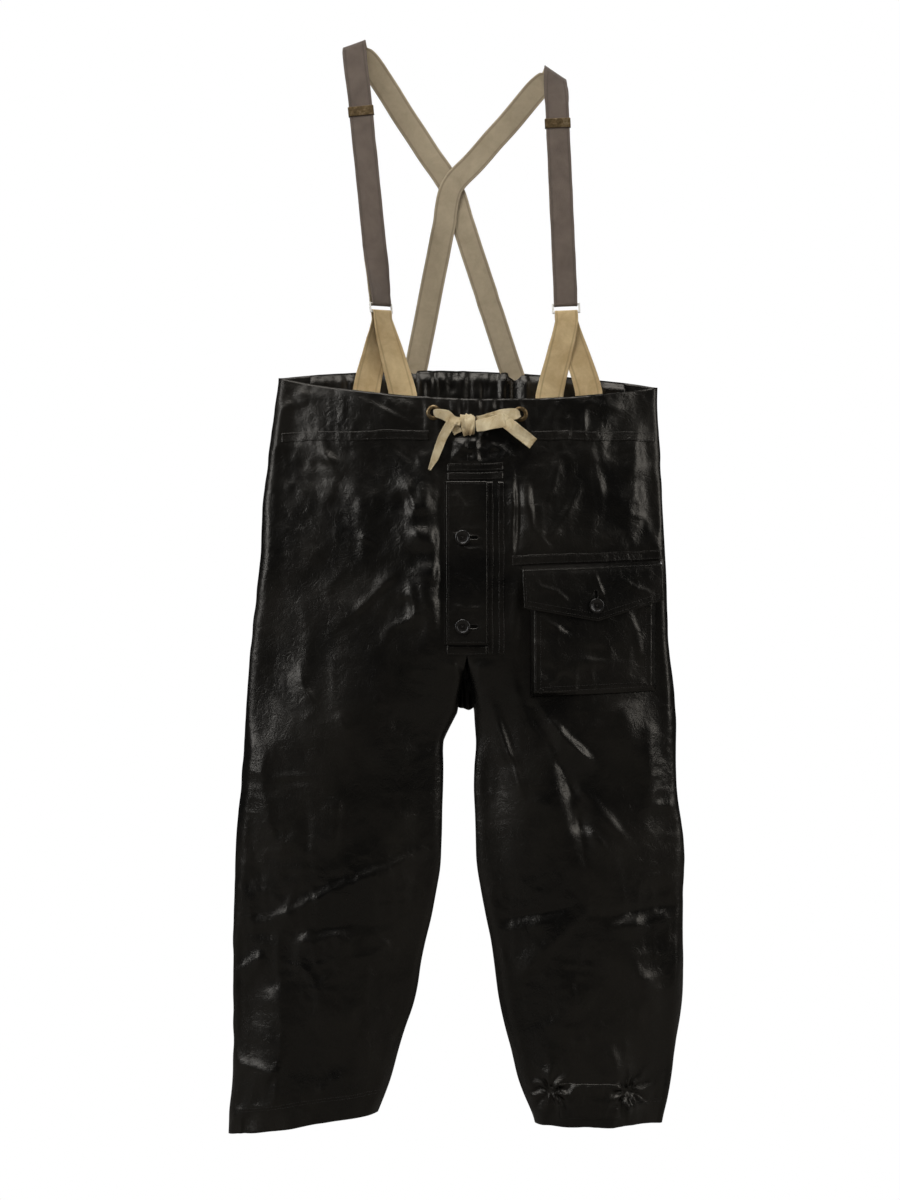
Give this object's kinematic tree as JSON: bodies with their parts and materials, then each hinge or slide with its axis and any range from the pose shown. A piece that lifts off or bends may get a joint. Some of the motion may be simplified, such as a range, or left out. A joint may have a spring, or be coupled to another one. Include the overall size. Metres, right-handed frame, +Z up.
{
  "type": "bunker pants",
  "caption": "Wide, hanging trousers of black rubber-coated cloth with webbing braces that cross at the back, a buttoned fly, a drawstring waist and a flapped thigh pocket.",
  "frame": {"origin": "midway between the tops of the two shoulder loops, where the braces hang on a bar", "axes": "+Z up, -Y the front of the pants, +X the wearer's left"},
  "size_m": [0.623, 0.0953, 1.4953],
  "materials": {
    "coated_cloth": "gloss",
    "seam_tape": "satin",
    "webbing": "woven",
    "cotton_tape": "woven",
    "eyelet_brass": "tarnished",
    "slide_brass": "worn",
    "ring_steel": "satin",
    "button": "gloss",
    "thread": "matte"
  },
  "bodies": {
    "trousers": {"back_panel_left": "coated_cloth", "back_panel_right": "coated_cloth", "bow_knot": "cotton_tape", "bow_loop_left": "cotton_tape", "bow_loop_right": "cotton_tape", "cross_stitching": "thread", "drawstring_channel_run": "cotton_tape", "drawstring_lead_left": "cotton_tape", "drawstring_lead_right": "cotton_tape", "drawstring_tail_left": "cotton_tape", "drawstring_tail_right": "cotton_tape", "eyelet_left": "eyelet_brass", "eyelet_right": "eyelet_brass", "eyelet_washer_left": "eyelet_brass", "eyelet_washer_right": "eyelet_brass", "fly_button_lower": "button", "fly_button_upper": "button", "fly_foot_tape": "seam_tape", "fly_side_tape_inner": "seam_tape", "fly_side_tape_outer": "seam_tape", "fly_stand": "coated_cloth", "fly_top_tape": "seam_tape", "front_panel_left": "coated_cloth", "front_panel_right": "coated_cloth", "pocket_button": "button", "pocket_flap_root": "coated_cloth", "pocket_pouch": "coated_cloth", "pocket_tack_inner": "seam_tape", "pocket_tack_outer": "seam_tape", "pocket_top_tape": "seam_tape", "ring_left": "ring_steel", "ring_right": "ring_steel", "ring_tab_left": "cotton_tape", "ring_tab_right": "cotton_tape", "strap_left": "webbing", "strap_right": "webbing", "waist_casing_back": "coated_cloth", "waist_casing_front": "coated_cloth", "waist_tape_back": "seam_tape", "waist_tape_front_left": "seam_tape", "waist_tape_front_right": "seam_tape"},
    "shin_right": {"front_shin_panel_right": "coated_cloth", "back_shin_panel_right": "coated_cloth", "hem_front_right": "coated_cloth", "hem_back_right": "coated_cloth"},
    "shin_left": {"front_shin_panel_left": "coated_cloth", "back_shin_panel_left": "coated_cloth", "hem_front_left": "coated_cloth", "hem_back_left": "coated_cloth", "cuff_tab_left": "coated_cloth", "cuff_tack_inner_left": "seam_tape", "cuff_tack_outer_left": "seam_tape"},
    "pocket_flap": {"pocket_flap": "coated_cloth"},
    "fly_flap": {"fly_flap": "coated_cloth"},
    "slide_right": {"slide_right": "slide_brass", "strap_end_right": "webbing"},
    "slide_left": {"slide_left": "slide_brass", "strap_end_left": "webbing"}
  },
  "joints": [
    {"name": "knee_fold_right", "type": "hinge", "parent": "trousers", "child": "shin_right", "pos_m": [-0.1855, 0.0245, -1.172], "axis": [1, 0, 0], "range_deg": [0, 120]},
    {"name": "knee_fold_left", "type": "hinge", "parent": "trousers", "child": "shin_left", "pos_m": [0.1605, 0.0245, -1.172], "axis": [1, 0, 0], "range_deg": [0, 120]},
    {"name": "pocket_flap_hinge", "type": "hinge", "parent": "trousers", "child": "pocket_flap", "pos_m": [0.16622, -0.03992, -0.694], "axis": [-0.9845, -0.17, -0.0436], "range_deg": [0, 150]},
    {"name": "fly_flap_hinge", "type": "hinge", "parent": "trousers", "child": "fly_flap", "pos_m": [0.026, -0.04275, -0.688], "axis": [0, 0, 1], "range_deg": [0, 150]},
    {"name": "slide_right_travel", "type": "slide", "parent": "trousers", "child": "slide_right", "axis": [-0.102, 0.0686, 0.9924], "range_m": [-0.13, 0.012]},
    {"name": "slide_left_travel", "type": "slide", "parent": "trousers", "child": "slide_left", "axis": [-0.0417, 0.064, 0.9971], "range_m": [-0.13, 0.012]}
  ]
}
